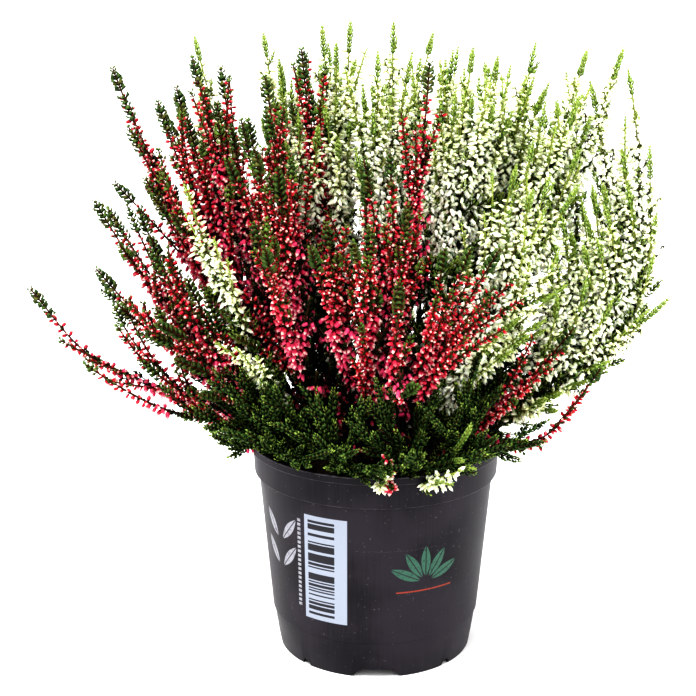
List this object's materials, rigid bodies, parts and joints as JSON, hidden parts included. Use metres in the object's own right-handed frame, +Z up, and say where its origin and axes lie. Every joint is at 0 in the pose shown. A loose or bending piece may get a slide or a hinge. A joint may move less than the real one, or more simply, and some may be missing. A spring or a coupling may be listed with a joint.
{
  "type": "potted heather",
  "caption": "Red and white bud-flowered heather, its bud-lined sprays fanning out over leafy shoots, in a tapering thin-walled plastic nursery pot.",
  "frame": {"origin": "the point on the surface under the middle of the pot", "axes": "+Z up; the front of the plant, with its red sprays on the left and white ones on the right, faces -Y"},
  "size_m": [0.2716, 0.1971, 0.2701],
  "materials": {
    "pot_plastic": "thin thermoformed plastic, satin, dark charcoal",
    "potting_mix": "moist peat and wood-fibre mix, rough",
    "red_spray": "woody stems with crimson buds, satin",
    "white_spray": "woody stems with cream-white buds, satin",
    "leafy_shoot": "scale-leaved shoots, dark green, matt"
  },
  "bodies": {
    "root": {"pot": "pot_plastic", "growing_medium": "potting_mix", "spray_red_01": "red_spray", "spray_red_02": "red_spray", "spray_red_03": "red_spray", "spray_white_01": "white_spray", "spray_white_02": "white_spray", "spray_red_04": "red_spray", "spray_red_05": "red_spray", "spray_white_03": "white_spray", "spray_white_04": "white_spray", "spray_white_05": "white_spray", "spray_red_06": "red_spray", "spray_white_06": "white_spray", "spray_white_07": "white_spray", "spray_white_08": "white_spray", "spray_white_09": "white_spray", "spray_white_10": "white_spray", "spray_white_11": "white_spray", "spray_white_12": "white_spray", "spray_white_13": "white_spray", "spray_white_14": "white_spray", "spray_white_15": "white_spray", "spray_red_07": "red_spray", "spray_red_08": "red_spray", "spray_red_09": "red_spray", "spray_red_10": "red_spray", "spray_red_11": "red_spray", "spray_red_12": "red_spray", "spray_red_13": "red_spray", "spray_red_14": "red_spray", "spray_red_15": "red_spray", "spray_red_16": "red_spray", "spray_red_17": "red_spray", "spray_red_18": "red_spray", "spray_red_19": "red_spray", "spray_red_20": "red_spray", "spray_white_16": "white_spray", "spray_white_17": "white_spray", "spray_white_18": "white_spray", "spray_red_21": "red_spray", "spray_red_22": "red_spray", "spray_red_23": "red_spray", "spray_white_19": "white_spray", "spray_white_20": "white_spray", "spray_white_21": "white_spray", "spray_red_24": "red_spray", "spray_red_25": "red_spray", "spray_red_26": "red_spray", "leafy_shoots_1": "leafy_shoot", "leafy_shoots_2": "leafy_shoot", "leafy_shoots_3": "leafy_shoot", "leafy_shoots_4": "leafy_shoot", "leafy_shoots_5": "leafy_shoot", "leafy_shoots_6": "leafy_shoot", "leafy_shoots_7": "leafy_shoot", "leafy_shoots_8": "leafy_shoot"}
  },
  "joints": []
}
